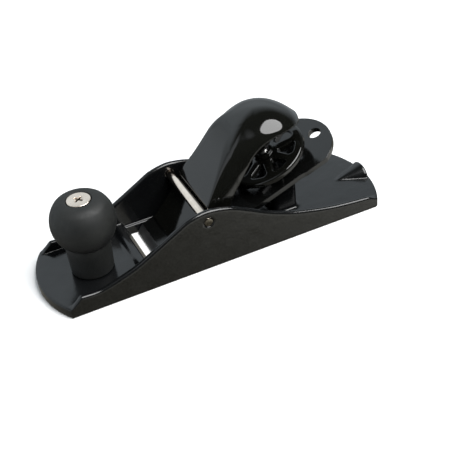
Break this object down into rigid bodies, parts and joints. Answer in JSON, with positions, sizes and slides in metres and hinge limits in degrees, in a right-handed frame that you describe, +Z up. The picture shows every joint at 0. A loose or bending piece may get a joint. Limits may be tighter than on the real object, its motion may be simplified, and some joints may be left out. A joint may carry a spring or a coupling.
{
  "type": "hand plane",
  "caption": "Low angle hand plane with curved cheeks, round front knob, bevel-up plane iron, palm-shaped lever cap on a cross pin, and a spoked cap wheel that clamps the iron.",
  "frame": {"origin": "centre of the bounding box's lower face, on the underside of the sole", "axes": "+X along the length towards the toe and front knob, +Y across the sole, +Z up"},
  "size_m": [0.178, 0.0502, 0.0638],
  "materials": {
    "enamel": "blue-black gloss enamel over cast iron, slightly uneven",
    "knob_plastic": "matte moulded black plastic",
    "zinc": "bright zinc plated steel",
    "iron_paint": "smooth gloss black on steel",
    "cap_paint": "smooth deep gloss black",
    "steel": "plain turned steel"
  },
  "bodies": {
    "frame": {"body": "enamel", "front_knob": "knob_plastic", "knob_screw": "zinc", "cross_pin": "zinc"},
    "iron": {"plane_iron": "iron_paint"},
    "cap": {"lever_cap": "cap_paint"},
    "stud": {"wheel_screw": "steel"},
    "wheel": {"cap_wheel": "cap_paint"}
  },
  "joints": [
    {"name": "iron_slide", "type": "slide", "parent": "frame", "child": "iron", "axis": [0.9379, 0, -0.3469], "range_m": [-0.008, 0.0035]},
    {"name": "cap_slide", "type": "slide", "parent": "frame", "child": "cap", "axis": [-0.9379, 0, 0.3469], "range_m": [0, 0.03]},
    {"name": "screw_travel", "type": "slide", "parent": "cap", "child": "stud", "axis": [0.4067, 0, 0.9135], "range_m": [0, 0.002]},
    {"name": "wheel_spin", "type": "hinge", "parent": "stud", "child": "wheel", "pos_m": [-0.0325, 0, 0.0369], "axis": [0.4067, 0, 0.9135], "range_deg": [0, 720]}
  ],
  "couplings": [
    {"joint": "screw_travel", "follows": "wheel_spin", "m_per_rad": 0.00015915}
  ]
}
